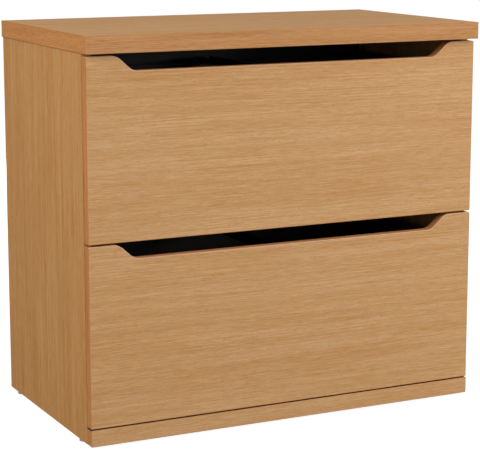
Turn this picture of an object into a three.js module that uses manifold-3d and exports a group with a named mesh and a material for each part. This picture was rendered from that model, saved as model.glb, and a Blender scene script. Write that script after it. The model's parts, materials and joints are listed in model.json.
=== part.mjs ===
// A two-drawer lateral filing cabinet in oak laminate, with full-extension ball-bearing slides.
// Millimetres, +Z up. The front faces -Y, and the origin is on the floor under the middle of the top.

import * as THREE from 'three';
import { mergeVertices } from 'three/addons/utils/BufferGeometryUtils.js';
import Module from 'manifold-3d';

const wasm = await Module();
wasm.setup();

// Overall sizes
const HEIGHT = 749;
const TOP_WIDTH = 813;
const TOP_DEPTH = 457;
const TOP_THICKNESS = 32;
const BOARD = 19;
const SIDE_OVERHANG = 3;
const EASED_EDGE = 1.2;

// Drawer fronts, plinth and the gaps round them
const FRONT_OVERHANG = 12;
const FRONT_THICKNESS = 19;
const BUMPER_GAP = 2;
const PAD_HEIGHT = 5;
const PLINTH_HEIGHT = 31.5;
const PLINTH_THICKNESS = 22;
const PLINTH_GAP = 2;
const DRAWER_GAP = 3;
const TOP_GAP = 5;

// Scoop in the top edge of a drawer front, symmetrical about the middle
const SCOOP_DEPTH = 28;
const SCOOP_HALF_WIDTH = 330;
const SCOOP_SLOPE = THREE.MathUtils.degToRad(42);
const SCOOP_RADIUS = 28;

// Back panel, set in from the rear edges of the sides
const BACK_THICKNESS = 16;
const BACK_RECESS = 25;

// Drawer box
const BOX_BOARD = 12;
const BOX_HEIGHT = 270;
const BOX_DEPTH = 358;
const BOX_RISE = 10;
const BOX_BOTTOM = 6;
const GROOVE_RISE = 10;
const GROOVE_DEPTH = 6;
const GROOVE_PLAY = 0.3;

// File rails, folded from sheet steel
const RAIL_SHEET = 1.5;
const RAIL_LIP = 12;
const CENTRE_RAIL_WIDTH = 30;
const FILE_PITCH = 330;

// Telescopic slides: x runs from the carcass side to the drawer box, z from the middle of the slide
const SLIDE_THICKNESS = 12.7;
const SLIDE_LENGTH = 350;
const SLIDE_SETBACK = 3;
const SLIDE_RISE = 120;
const MEMBER_SHEET = 1.2;
const CAGE_SHEET = 0.6;
const CAGE_LENGTH = 160;
const BALL_RADIUS = 1.75;
const RACE_PLAY = 0.15;
const BEND_RADIUS = 1.6;
const OUTER_CROWN_DROP = 0.2;
const MIDDLE_BEND_DROP = 1;
const OUTER_BALL = new THREE.Vector2(6.2, 18.6);
const INNER_BALL = new THREE.Vector2(8.6, 12.6);
const CAGE_LAP = 2.5;
const MIDDLE_WEB = 3.4;
const OUTER_CAGE_WEB = 2.0;
const INNER_CAGE_WEB = 4.8;
const SCREW_HOLE_RADIUS = 2.3;
const SCREW_SLOT_TRAVEL = 6;
const SCREW_INSET = 28;
const BALL_HOLE_PITCH = 22;
const BALL_HOLE_COUNT = 7;

// Levelling glides, screwed into the bottom edge of each side panel
const GLIDE_INSET = 40;
const PAD_RADIUS = 9.2;
const PAD_SOLE = 1.2;
const PAD_TAPER = 1.6;
const PAD_ROUNDING = 0.7;
const PAD_TOP_GAP = 0.5;
const STEM_RADIUS = 3;
const STEM_TOP = 30;
const STEM_SEAT = 2.2;
const STEM_CHAMFER = 0.8;
const INSERT_RADIUS = 5.6;
const INSERT_LENGTH = 22;
const INSERT_BARBS = 3;
const BARB_DEPTH = 0.8;
const BARB_CREST = 0.3;
const BARB_ROOT = 0.95;
const GLIDE_BORE_DEPTH = 40;
const FIT_GAP = 0.3;

// Facets of round forms
const PAD_FACETS = 20;
const STEM_FACETS = 16;
const BORE_FACETS = 20;
const BALL_HOLE_FACETS = 8;
const SLOT_END_FACETS = 5;

// Positions that follow from the sizes above
const TOP_FRONT = -TOP_DEPTH / 2;
const REAR = TOP_DEPTH / 2;
const CARCASS_HALF = TOP_WIDTH / 2 - SIDE_OVERHANG;
const INNER_HALF = CARCASS_HALF - BOARD;
const FACE = TOP_FRONT + FRONT_OVERHANG;
const FACE_BACK = FACE + FRONT_THICKNESS;
const SIDE_FRONT = FACE_BACK + BUMPER_GAP;
const BACK_FACE = REAR - BACK_RECESS - BACK_THICKNESS;
const TOP_UNDERSIDE = HEIGHT - TOP_THICKNESS;
const PLINTH_TOP = PAD_HEIGHT + PLINTH_HEIGHT;
const FRONTS_BOTTOM = PLINTH_TOP + PLINTH_GAP;
const FRONT_HEIGHT = (TOP_UNDERSIDE - TOP_GAP - FRONTS_BOTTOM - DRAWER_GAP) / 2;
const BOX_HALF = INNER_HALF - SLIDE_THICKNESS;
const BOX_INNER_HALF = BOX_HALF - BOX_BOARD;
const SLIDE_FRONT = SIDE_FRONT + SLIDE_SETBACK;
const GLIDE_X = CARCASS_HALF - BOARD / 2;

const LEVELS = [
  { name: 'upper', bottom: FRONTS_BOTTOM + FRONT_HEIGHT + DRAWER_GAP },
  { name: 'lower', bottom: FRONTS_BOTTOM },
];
const SIDES = [
  { name: 'left', sign: -1 },
  { name: 'right', sign: 1 },
];
const GLIDE_ROWS = [
  { name: 'front', y: SIDE_FRONT + GLIDE_INSET },
  { name: 'rear', y: REAR - GLIDE_INSET },
];

// Finishes
const OAK = { color: 0xb98c5e, roughness: 0.5, metalness: 0 };
const BOX_FINISH = { color: 0x4a3a2c, roughness: 0.6, metalness: 0 };
const ZINC = { color: 0xa9adb1, roughness: 0.35, metalness: 1 };
const BLACK_STEEL = { color: 0x2b2b2d, roughness: 0.5, metalness: 0.6 };
const GREY_PLASTIC = { color: 0x8b8b88, roughness: 0.6, metalness: 0 };

const cabinet = new THREE.Group();

function addPiece(name, geometry, finish) {
  const mesh = new THREE.Mesh(geometry, new THREE.MeshStandardMaterial(finish));
  mesh.name = name;
  cabinet.add(mesh);
  return mesh;
}

// Solids and booleans

function toSolid(geometry) {
  const bare = geometry.clone();
  bare.deleteAttribute('normal');
  bare.deleteAttribute('uv');
  const merged = mergeVertices(bare);
  return new wasm.Manifold(new wasm.Mesh({
    numProp: 3,
    vertProperties: new Float32Array(merged.attributes.position.array),
    triVerts: new Uint32Array(merged.index.array),
  }));
}

function toGeometry(solid) {
  const mesh = solid.getMesh();
  const geometry = new THREE.BufferGeometry();
  geometry.setAttribute('position', new THREE.BufferAttribute(mesh.vertProperties, 3));
  geometry.setIndex(new THREE.BufferAttribute(mesh.triVerts, 1));
  return geometry;
}

function cut(geometry, cutters) {
  const body = cutters.reduce((solid, cutter) => solid.subtract(toSolid(cutter)), toSolid(geometry));
  return toGeometry(body);
}

// Profiles and extrusions

function polygon(points) {
  return new THREE.Shape(points.map(([u, v]) => new THREE.Vector2(u, v)));
}

function rectangle(u0, v0, u1, v1) {
  return polygon([[u0, v0], [u1, v0], [u1, v1], [u0, v1]]);
}

// Shape axes u and v land on X and Z, and the length runs along +Y from start.
function extrudeAlongY(shape, start, length, options = {}) {
  const geometry = new THREE.ExtrudeGeometry(shape, { depth: length, bevelEnabled: false, ...options });
  return geometry.rotateX(Math.PI / 2).translate(0, start + length, 0);
}

// Shape axes u and v land on Y and Z, and the length runs along +X from start.
function extrudeAlongX(shape, start, length, options = {}) {
  const geometry = new THREE.ExtrudeGeometry(shape, { depth: length, bevelEnabled: false, ...options });
  return geometry.rotateZ(Math.PI / 2).rotateY(Math.PI / 2).translate(start, 0, 0);
}

// Shape axes u and v land on X and Y, and the length runs along +Z from start.
function extrudeAlongZ(shape, start, length, options = {}) {
  const geometry = new THREE.ExtrudeGeometry(shape, { depth: length, bevelEnabled: false, ...options });
  return geometry.translate(0, 0, start);
}

// A board whose banded edges are eased on both faces.
function easedBoard(extrude, shape, start, thickness) {
  const options = {
    bevelEnabled: true,
    bevelSize: EASED_EDGE,
    bevelThickness: EASED_EDGE,
    bevelOffset: -EASED_EDGE,
    bevelSegments: 2,
    curveSegments: 6,
  };
  return extrude(shape, start + EASED_EDGE, thickness - 2 * EASED_EDGE, options);
}

// Points along an arc, both ends included, angles in degrees.
function arcPoints(centre, radius, from, to, steps) {
  return Array.from({ length: steps + 1 }, (_, i) => {
    const angle = THREE.MathUtils.degToRad(from + ((to - from) * i) / steps);
    return [centre.x + radius * Math.cos(angle), centre.y + radius * Math.sin(angle)];
  });
}

// The closed outline of folded sheet metal, from the line that runs through the middle of the sheet.
function sheetOutline(line, sheet) {
  const points = line.map(([u, v]) => new THREE.Vector2(u, v));
  const sideOf = (from, to) => {
    const along = to.clone().sub(from).normalize();
    return new THREE.Vector2(-along.y, along.x);
  };
  const offsets = points.map((point, i) => {
    const before = i > 0 ? sideOf(points[i - 1], point) : null;
    const after = i < points.length - 1 ? sideOf(point, points[i + 1]) : null;
    if (!before || !after) return (before ?? after).multiplyScalar(sheet / 2);
    const mitre = before.clone().add(after).normalize();
    return mitre.multiplyScalar(sheet / 2 / mitre.dot(before));
  });
  const left = points.map((point, i) => point.clone().add(offsets[i]));
  const right = points.map((point, i) => point.clone().sub(offsets[i]));
  return new THREE.Shape([...left, ...right.reverse()]);
}

// The whole line of a channel from its upper half, which starts at mid-height.
function mirroredLine(upperHalf, sign) {
  const upper = upperHalf.map(([x, z]) => [sign * x, z]);
  const lower = upperHalf.map(([x, z]) => [sign * x, -z]).reverse();
  return [...lower, ...upper];
}

// Carcass

function addCarcass() {
  const topOutline = rectangle(-TOP_WIDTH / 2, TOP_FRONT, TOP_WIDTH / 2, REAR);
  addPiece('top_panel', easedBoard(extrudeAlongZ, topOutline, TOP_UNDERSIDE, TOP_THICKNESS), OAK);

  SIDES.forEach(({ name, sign }) => {
    addPiece(`${name}_side_panel`, sidePanel(sign), OAK);
  });

  const backOutline = rectangle(-INNER_HALF, PAD_HEIGHT, INNER_HALF, TOP_UNDERSIDE);
  addPiece('back_panel', extrudeAlongY(backOutline, BACK_FACE, BACK_THICKNESS), OAK);

  const bottomOutline = rectangle(-INNER_HALF, SIDE_FRONT, INNER_HALF, BACK_FACE);
  addPiece('bottom_panel', extrudeAlongZ(bottomOutline, PLINTH_TOP - BOARD, BOARD), OAK);

  const plinthOutline = rectangle(-CARCASS_HALF, PAD_HEIGHT, CARCASS_HALF, PLINTH_TOP);
  const plinthStart = SIDE_FRONT - PLINTH_THICKNESS;
  addPiece('plinth_rail', easedBoard(extrudeAlongY, plinthOutline, plinthStart, PLINTH_THICKNESS), OAK);
}

// A side panel with a bore for each glide in its bottom edge.
function sidePanel(sign) {
  const outline = rectangle(SIDE_FRONT, PAD_HEIGHT, REAR, TOP_UNDERSIDE);
  const start = sign > 0 ? INNER_HALF : -CARCASS_HALF;
  const board = easedBoard(extrudeAlongX, outline, start, BOARD);
  return cut(board, GLIDE_ROWS.map(({ y }) => glideBore(sign, y)));
}

function glideBore(sign, y) {
  const radius = INSERT_RADIUS + FIT_GAP;
  const below = 1;
  const bore = new THREE.CylinderGeometry(radius, radius, GLIDE_BORE_DEPTH + below, BORE_FACETS);
  bore.rotateX(Math.PI / 2);
  return bore.translate(sign * GLIDE_X, y, PAD_HEIGHT + (GLIDE_BORE_DEPTH - below) / 2);
}

// Levelling glides

function addGlides() {
  GLIDE_ROWS.forEach((row) => {
    SIDES.forEach((side) => {
      const corner = `${row.name}_${side.name}`;
      const pieces = [
        addPiece(`${corner}_glide_pad`, glidePad(), GREY_PLASTIC),
        addPiece(`${corner}_glide_stem`, glideStem(), ZINC),
        addPiece(`${corner}_threaded_insert`, threadedInsert(), ZINC),
      ];
      pieces.forEach((piece) => piece.position.set(side.sign * GLIDE_X, row.y, 0));
    });
  });
}

// Turns a profile of [radius, height] points about the Z axis.
function turned(profile, segments) {
  const points = profile.map(([radius, height]) => new THREE.Vector2(radius, height));
  return new THREE.LatheGeometry(points, segments).rotateX(Math.PI / 2);
}

// A round foot with a flared sole and a socket that takes the stem.
function glidePad() {
  const top = PAD_HEIGHT - PAD_TOP_GAP;
  const shoulder = PAD_RADIUS - PAD_TAPER;
  const socket = STEM_RADIUS + FIT_GAP;
  const floor = STEM_SEAT - FIT_GAP;
  return turned([
    [0, 0],
    [PAD_RADIUS - PAD_ROUNDING, 0],
    [PAD_RADIUS, PAD_ROUNDING],
    [PAD_RADIUS, PAD_SOLE],
    [shoulder, top - PAD_ROUNDING],
    [shoulder - PAD_ROUNDING, top],
    [socket, top],
    [socket, floor],
    [0, floor],
  ], PAD_FACETS);
}

// A plain stem with a chamfered tip, seated in the pad's socket.
function glideStem() {
  return turned([
    [0, STEM_SEAT],
    [STEM_RADIUS, STEM_SEAT],
    [STEM_RADIUS, STEM_TOP - STEM_CHAMFER],
    [STEM_RADIUS - STEM_CHAMFER, STEM_TOP],
    [0, STEM_TOP],
  ], STEM_FACETS);
}

// A sleeve with barbed rings outside and a clear bore for the stem.
function threadedInsert() {
  const bore = STEM_RADIUS + FIT_GAP;
  const root = INSERT_RADIUS - BARB_DEPTH;
  const barb = INSERT_LENGTH / INSERT_BARBS;
  const bottom = PAD_HEIGHT;
  const barbs = Array.from({ length: INSERT_BARBS }, (_, i) => [
    [INSERT_RADIUS, bottom + i * barb],
    [INSERT_RADIUS, bottom + (i + BARB_CREST) * barb],
    [root, bottom + (i + BARB_ROOT) * barb],
  ]).flat();
  const top = bottom + INSERT_LENGTH;
  const profile = [[bore, bottom], ...barbs, [root, top], [bore, top], [bore, bottom]];
  return turned(profile, STEM_FACETS);
}

// Drawers

function addDrawer(level) {
  const { name, bottom } = level;
  addPiece(`${name}_drawer_front`, drawerFront(bottom), OAK);

  const boxBottom = bottom + BOX_RISE;
  const boxRear = FACE_BACK + BOX_DEPTH;
  SIDES.forEach(({ name: sideName, sign }) => {
    addPiece(`${name}_box_${sideName}_side`, boxSide(sign, boxBottom), BOX_FINISH);
  });
  addPiece(`${name}_box_front`, boxEnd(FACE_BACK, 1, boxBottom), BOX_FINISH);
  addPiece(`${name}_box_back`, boxEnd(boxRear, -1, boxBottom), BOX_FINISH);
  addPiece(`${name}_box_bottom`, boxFloor(boxBottom), BOX_FINISH);

  const railHeight = boxBottom + BOX_HEIGHT;
  addPiece(`${name}_centre_file_rail`, centreRail(railHeight), BLACK_STEEL);
  SIDES.forEach(({ name: sideName, sign }) => {
    addPiece(`${name}_${sideName}_file_rail`, sideRail(sign, railHeight), BLACK_STEEL);
  });
}

// A full-width front whose top edge dips into a scoop with sloped ends and rounded corners.
function drawerFront(bottom) {
  const top = bottom + FRONT_HEIGHT;
  const floor = top - SCOOP_DEPTH;
  const run = SCOOP_DEPTH / 2 / Math.tan(SCOOP_SLOPE);
  const tangent = SCOOP_RADIUS * Math.tan(SCOOP_SLOPE / 2);
  const rim = SCOOP_HALF_WIDTH + run + tangent;
  const foot = SCOOP_HALF_WIDTH - run - tangent;
  const upright = Math.PI / 2;
  const outline = new THREE.Shape();
  outline.moveTo(-CARCASS_HALF, bottom);
  outline.lineTo(CARCASS_HALF, bottom);
  outline.lineTo(CARCASS_HALF, top);
  outline.absarc(rim, top - SCOOP_RADIUS, SCOOP_RADIUS, upright, upright + SCOOP_SLOPE, false);
  outline.absarc(foot, floor + SCOOP_RADIUS, SCOOP_RADIUS, SCOOP_SLOPE - upright, -upright, true);
  outline.absarc(-foot, floor + SCOOP_RADIUS, SCOOP_RADIUS, -upright, -upright - SCOOP_SLOPE, true);
  outline.absarc(-rim, top - SCOOP_RADIUS, SCOOP_RADIUS, upright - SCOOP_SLOPE, upright, false);
  outline.lineTo(-CARCASS_HALF, top);
  outline.closePath();
  return easedBoard(extrudeAlongY, outline, FACE, FRONT_THICKNESS);
}

// The section of a box board, with a groove for the box bottom. Depth counts from the outer face inwards.
function groovedSection(outerFace, inwards, bottom) {
  const inner = outerFace + inwards * BOX_BOARD;
  const grooveEnd = inner - inwards * GROOVE_DEPTH;
  const grooveLow = bottom + GROOVE_RISE;
  const grooveHigh = grooveLow + BOX_BOTTOM + 2 * GROOVE_PLAY;
  return polygon([
    [outerFace, bottom],
    [inner, bottom],
    [inner, grooveLow],
    [grooveEnd, grooveLow],
    [grooveEnd, grooveHigh],
    [inner, grooveHigh],
    [inner, bottom + BOX_HEIGHT],
    [outerFace, bottom + BOX_HEIGHT],
  ]);
}

function boxSide(sign, bottom) {
  return extrudeAlongY(groovedSection(sign * BOX_HALF, -sign, bottom), FACE_BACK, BOX_DEPTH);
}

function boxEnd(outerFace, inwards, bottom) {
  return extrudeAlongX(groovedSection(outerFace, inwards, bottom), -BOX_INNER_HALF, 2 * BOX_INNER_HALF);
}

function boxFloor(bottom) {
  const reach = GROOVE_DEPTH - GROOVE_PLAY;
  const half = BOX_INNER_HALF + reach;
  const front = FACE_BACK + BOX_BOARD - reach;
  const rear = FACE_BACK + BOX_DEPTH - BOX_BOARD + reach;
  return extrudeAlongZ(rectangle(-half, front, half, rear), bottom + GROOVE_RISE + GROOVE_PLAY, BOX_BOTTOM);
}

// A shallow channel, lips up, that lies on the box front and back.
function centreRail(height) {
  const half = CENTRE_RAIL_WIDTH / 2 - RAIL_SHEET / 2;
  const web = height + RAIL_SHEET / 2;
  const lip = height + RAIL_LIP;
  const section = sheetOutline([[-half, lip], [-half, web], [half, web], [half, lip]], RAIL_SHEET);
  return extrudeAlongY(section, FACE_BACK, BOX_DEPTH);
}

// An angle, lip up, that lies on the box front and back, one file width from the centre rail.
function sideRail(sign, height) {
  const lipAt = sign * (CENTRE_RAIL_WIDTH / 2 - RAIL_SHEET / 2 + FILE_PITCH);
  const web = height + RAIL_SHEET / 2;
  const foot = lipAt + sign * RAIL_LIP;
  const section = sheetOutline([[foot, web], [lipAt, web], [lipAt, height + RAIL_LIP]], RAIL_SHEET);
  return extrudeAlongY(section, FACE_BACK, BOX_DEPTH);
}

// Telescopic slides

const RACE_RADIUS = BALL_RADIUS + RACE_PLAY + MEMBER_SHEET / 2;

// The outer member's flange rolls over the outer balls.
function outerLine() {
  const web = MEMBER_SHEET / 2;
  const crown = OUTER_BALL.y + RACE_RADIUS - OUTER_CROWN_DROP;
  const bend = new THREE.Vector2(web + BEND_RADIUS, crown - BEND_RADIUS);
  return [...arcPoints(bend, BEND_RADIUS, 180, 90, 3), ...arcPoints(OUTER_BALL, RACE_RADIUS, 110, 30, 4)];
}

// The middle member's flange runs under the outer balls and then over the inner ones.
function middleLine() {
  const bend = new THREE.Vector2(MIDDLE_WEB + BEND_RADIUS, OUTER_BALL.y - RACE_RADIUS - MIDDLE_BEND_DROP);
  return [
    ...arcPoints(bend, BEND_RADIUS, 180, 120, 2),
    ...arcPoints(OUTER_BALL, RACE_RADIUS, 240, 290, 3),
    ...arcPoints(INNER_BALL, RACE_RADIUS, 110, 30, 4),
  ];
}

// The inner member opens towards the carcass, and its flange curls round the underside of the inner balls.
function innerLine() {
  const web = SLIDE_THICKNESS - MEMBER_SHEET / 2;
  const crown = INNER_BALL.y - RACE_RADIUS;
  const bend = new THREE.Vector2(web - BEND_RADIUS, crown - BEND_RADIUS);
  return [...arcPoints(bend, BEND_RADIUS, 0, 90, 3), ...arcPoints(INNER_BALL, RACE_RADIUS, 285, 210, 4)];
}

// A ball cage is a thin channel whose flanges pass through the middles of the balls.
function cageLine(web, ball) {
  return [[web, ball.y], [ball.x + CAGE_LAP, ball.y]];
}

// Rolled sheet along Y for one hand of slide: the section starts on the inside of the carcass side.
function slideSection(line, sheet, sign, start, length) {
  return extrudeAlongY(sheetOutline(mirroredLine(line, -sign), sheet), start, length);
}

// A screw slot through the web of a member, long the way the slide travels.
function screwSlot(y) {
  const half = SCREW_SLOT_TRAVEL / 2;
  const slot = new THREE.Shape();
  slot.absarc(half, 0, SCREW_HOLE_RADIUS, -Math.PI / 2, Math.PI / 2, false);
  slot.absarc(-half, 0, SCREW_HOLE_RADIUS, Math.PI / 2, Math.PI * 1.5, false);
  slot.closePath();
  const reach = 2 * SLIDE_THICKNESS;
  return extrudeAlongX(slot, -reach, 2 * reach, { curveSegments: SLOT_END_FACETS }).translate(0, y, 0);
}

function screwSlots() {
  const spots = [SCREW_INSET, SLIDE_LENGTH / 2, SLIDE_LENGTH - SCREW_INSET];
  return spots.map((along) => screwSlot(SLIDE_FRONT + along));
}

// Round holes for the balls through both flanges of a cage.
function ballHoles(ballX, sign) {
  const radius = BALL_RADIUS + RACE_PLAY;
  const reach = 3 * OUTER_BALL.y;
  const first = SLIDE_FRONT + SLIDE_LENGTH / 2 - ((BALL_HOLE_COUNT - 1) * BALL_HOLE_PITCH) / 2;
  return Array.from({ length: BALL_HOLE_COUNT }, (_, i) => {
    const hole = new THREE.CylinderGeometry(radius, radius, reach, BALL_HOLE_FACETS).rotateX(Math.PI / 2);
    return hole.translate(-sign * ballX, first + i * BALL_HOLE_PITCH, 0);
  });
}

function addSlide(level, side) {
  const { sign } = side;
  const centre = level.bottom + BOX_RISE + SLIDE_RISE;
  const name = `${level.name}_${side.name}`;
  const cageStart = SLIDE_FRONT + (SLIDE_LENGTH - CAGE_LENGTH) / 2;
  const member = (line) => slideSection(line, MEMBER_SHEET, sign, SLIDE_FRONT, SLIDE_LENGTH);
  const cage = (web, ball) => slideSection(cageLine(web, ball), CAGE_SHEET, sign, cageStart, CAGE_LENGTH);
  const pieces = {
    slide_outer: cut(member(outerLine()), screwSlots()),
    slide_middle: member(middleLine()),
    slide_inner: cut(member(innerLine()), screwSlots()),
    outer_ball_cage: cut(cage(OUTER_CAGE_WEB, OUTER_BALL), ballHoles(OUTER_BALL.x, sign)),
    inner_ball_cage: cut(cage(INNER_CAGE_WEB, INNER_BALL), ballHoles(INNER_BALL.x, sign)),
  };
  Object.entries(pieces).forEach(([piece, geometry]) => {
    const mesh = addPiece(`${name}_${piece}`, geometry, ZINC);
    mesh.position.set(sign * INNER_HALF, 0, centre);
  });
}

addCarcass();
addGlides();
LEVELS.forEach((level) => {
  addDrawer(level);
  SIDES.forEach((side) => addSlide(level, side));
});

export default cabinet;
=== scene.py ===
"""A two-drawer lateral filing cabinet in golden oak laminate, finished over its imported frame.

Metres, +Z up. The front faces -Y, and the origin is on the floor under the middle of the top.
Every piece's object stays at the origin, with its place in its mesh.
"""

import json
import math

import bmesh
import bpy
from mathutils import Matrix, Vector

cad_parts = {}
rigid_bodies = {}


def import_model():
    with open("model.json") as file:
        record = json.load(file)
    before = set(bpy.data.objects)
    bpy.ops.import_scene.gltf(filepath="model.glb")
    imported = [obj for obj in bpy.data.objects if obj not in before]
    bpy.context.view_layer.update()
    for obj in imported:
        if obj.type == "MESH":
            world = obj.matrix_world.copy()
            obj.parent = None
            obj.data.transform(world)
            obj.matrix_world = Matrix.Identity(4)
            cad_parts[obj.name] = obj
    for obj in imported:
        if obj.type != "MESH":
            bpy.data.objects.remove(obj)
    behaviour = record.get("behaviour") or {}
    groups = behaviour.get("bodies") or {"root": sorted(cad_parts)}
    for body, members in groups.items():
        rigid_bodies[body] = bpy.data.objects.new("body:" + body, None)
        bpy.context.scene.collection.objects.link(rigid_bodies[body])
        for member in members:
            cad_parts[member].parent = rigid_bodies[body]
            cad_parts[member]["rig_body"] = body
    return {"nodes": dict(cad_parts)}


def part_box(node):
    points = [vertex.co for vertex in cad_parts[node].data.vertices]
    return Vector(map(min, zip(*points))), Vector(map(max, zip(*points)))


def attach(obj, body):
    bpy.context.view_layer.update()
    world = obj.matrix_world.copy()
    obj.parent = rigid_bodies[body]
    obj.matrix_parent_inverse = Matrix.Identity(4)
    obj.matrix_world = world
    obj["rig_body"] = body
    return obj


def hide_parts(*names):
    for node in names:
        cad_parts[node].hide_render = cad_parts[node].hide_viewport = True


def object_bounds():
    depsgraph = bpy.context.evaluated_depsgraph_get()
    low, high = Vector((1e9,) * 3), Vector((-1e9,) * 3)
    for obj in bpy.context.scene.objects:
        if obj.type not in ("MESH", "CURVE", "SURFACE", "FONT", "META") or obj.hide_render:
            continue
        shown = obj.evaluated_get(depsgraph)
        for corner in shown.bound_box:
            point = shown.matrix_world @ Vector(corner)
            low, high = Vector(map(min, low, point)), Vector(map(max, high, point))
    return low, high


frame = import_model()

bl_info = {
    "name": "Lateral Filing Cabinet",
    "version": (1, 0, 0),
    "blender": (4, 5, 0),
    "location": "3D View > Sidebar > Cabinet",
    "description": "Builds a two-drawer lateral filing cabinet in oak laminate, piece by piece",
    "category": "Object",
}

CAD_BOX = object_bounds()
MM = 0.001
LEVELS = ("upper", "lower")
HANDS = {"left": -1, "right": 1}
CORNERS = ("front_left", "front_right", "rear_left", "rear_right")
PICTURE_WIDTH = 480
SENSOR_WIDTH = 36.0


# Properties that a user would change


def linear(hex_code):
    """The linear red, green and blue of an sRGB hex colour."""
    channels = [int(hex_code[i:i + 2], 16) / 255 for i in (1, 3, 5)]
    return tuple(c / 12.92 if c <= 0.04045 else ((c + 0.055) / 1.055) ** 2.4 for c in channels)


def length(name, description, millimetres):
    """A length in millimetres, kept as metres."""
    return bpy.props.FloatProperty(
        name=name, description=description, default=millimetres * MM, unit="LENGTH", precision=5)


def angle(name, description, degrees):
    """An angle in degrees, kept as radians."""
    return bpy.props.FloatProperty(
        name=name, description=description, default=math.radians(degrees), subtype="ANGLE")


def number(name, description, value, subtype="NONE"):
    """A number, shown as plain or as its subtype."""
    return bpy.props.FloatProperty(name=name, description=description, default=value, subtype=subtype)


def colour(name, description, hex_code):
    """A colour written as sRGB hex, kept as linear light."""
    return bpy.props.FloatVectorProperty(
        name=name, description=description, default=linear(hex_code), subtype="COLOR", size=3, min=0, max=1)


class CabinetBoards(bpy.types.PropertyGroup):
    """Sizes of the laminated boards."""

    ease: length("Eased edge", "Radius along every banded edge", 0.4)
    corner: length("Corner radius", "Radius where two bands meet", 1.6)
    band: length("Band thickness", "Thickness of the edge band, seen on the face", 0.7)
    joint: length("Joint groove", "Hairline between the band and the face", 0.08)
    scoop_depth: length("Scoop depth", "Dip in the top edge of a drawer front", 28)
    scoop_half_width: length("Scoop half width", "From the middle to half-way up a sloped end", 330)
    scoop_radius: length("Scoop radius", "Radius where slopes meet the rim and the floor", 28)
    scoop_slope: angle("Scoop slope", "Angle of the scoop's ends", 42)
    trim: length("Trim", "Taken off the lower edge of the upper drawer front", 1.0)
    insert_play: length("Insert play", "Gap between a threaded insert and its bore", 0.3)
    bore_depth: length("Bore depth", "Depth of a glide bore in the bottom edge", 40)


class CabinetHardware(bpy.types.PropertyGroup):
    """Sizes of the metal and plastic parts."""

    box_ease: length("Box edge", "Rounding on the drawer box boards", 0.5)
    rail_sheet: length("Rail sheet", "Thickness of the file rails", 1.5)
    rail_bend: length("Rail bend", "Bend radius of the file rails, at mid sheet", 2.2)
    member_ease: length("Slide edge", "Rounding on the rolled slide members", 0.2)
    member_sheet: length("Slide sheet", "Thickness of the slide members", 1.2)
    ball_radius: length("Ball radius", "Steel balls of the slides", 1.75)
    ball_pitch: length("Ball pitch", "From ball to ball along a cage", 22)
    ball_margin: length("Ball margin", "From the end of a cage to its first ball", 14)
    outer_row: length("Outer ball row", "Height of the outer balls off the slide's middle", 18.6)
    outer_depth: length("Outer ball depth", "From the mounting face to the outer balls", 6.2)
    inner_row: length("Inner ball row", "Height of the inner balls off the slide's middle", 12.6)
    inner_depth: length("Inner ball depth", "From the mounting face to the inner balls", 8.6)
    pan_head: length("Pan head", "Diameter of the raised screw heads", 7.6)
    flush_head: length("Flush head", "Diameter of the sunk screw heads", 7)
    recess: length("Recess", "Width of each arm of the screws' cross recess", 1.1)
    pitch: length("Thread pitch", "Pitch of the glide stem's thread", 1.0)
    thread_depth: length("Thread depth", "Depth of the glide stem's thread", 0.55)
    bumper: length("Bumper diameter", "Soft bumpers behind the drawer fronts", 9.5)
    cover: length("Cover diameter", "Caps over the cam fasteners", 17)
    rivet: length("Rivet diameter", "Stop rivets of the slides", 6)


class CabinetColours(bpy.types.PropertyGroup):
    """Colours of the finishes."""

    oak_deep: colour("Deep oak", "Darker grain of the level boards", "#BA8750")
    oak_pale: colour("Pale oak", "Lighter grain of the level boards", "#CEA67B")
    upright_deep: colour("Deep upright oak", "Darker grain of the upright boards", "#B1783B")
    upright_pale: colour("Pale upright oak", "Lighter grain of the upright boards", "#CB9D6A")
    band_deep: colour("Deep edge band", "Darker grain of the edge bands", "#AE794A")
    band_pale: colour("Pale edge band", "Lighter grain of the edge bands", "#C89767")
    end_band_deep: colour("Deep end band", "Darker grain of the bands across the ends", "#B17442")
    end_band_pale: colour("Pale end band", "Lighter grain of the bands across the ends", "#CA9059")
    front_band_deep: colour("Deep front band", "Darker grain of the fronts' edge bands", "#AE7040")
    front_band_pale: colour("Pale front band", "Lighter grain of the fronts' edge bands", "#C68957")
    oak_pore: colour("Oak pores", "Short dark dashes", "#A06B42")
    # The pale tone below is a painted highlight: the light that the eased band edges would catch.
    edge_highlight: colour("Band edge highlight", "Corners of the edge bands, a painted highlight", "#D9B89B")
    # This black is also painted shade: on the back panel's inner face and on the plinth's upper edges.
    melamine: colour("Black melamine", "Drawer boxes, and painted shade on the back and plinth", "#26201A")
    enamel: colour("Black enamel", "File rails", "#1B1B1C")
    zinc: colour("Zinc", "Plated steel", "#C6C9CB")
    zinc_dull: colour("Dull zinc", "Cloudy patches of the plating", "#B5B9BD")
    ball: colour("Ball steel", "Polished balls", "#D9DBDD")
    nylon: colour("Grey nylon", "Glide pads", "#8E8E8B")
    bumper: colour("Bumper", "Soft clear bumpers", "#B9B6AE")
    cover: colour("Fastener cover", "Tan caps over the fasteners", "#A97D4F")
    floor: colour("Floor", "Ground of the set", "#8C8C8C")


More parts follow.
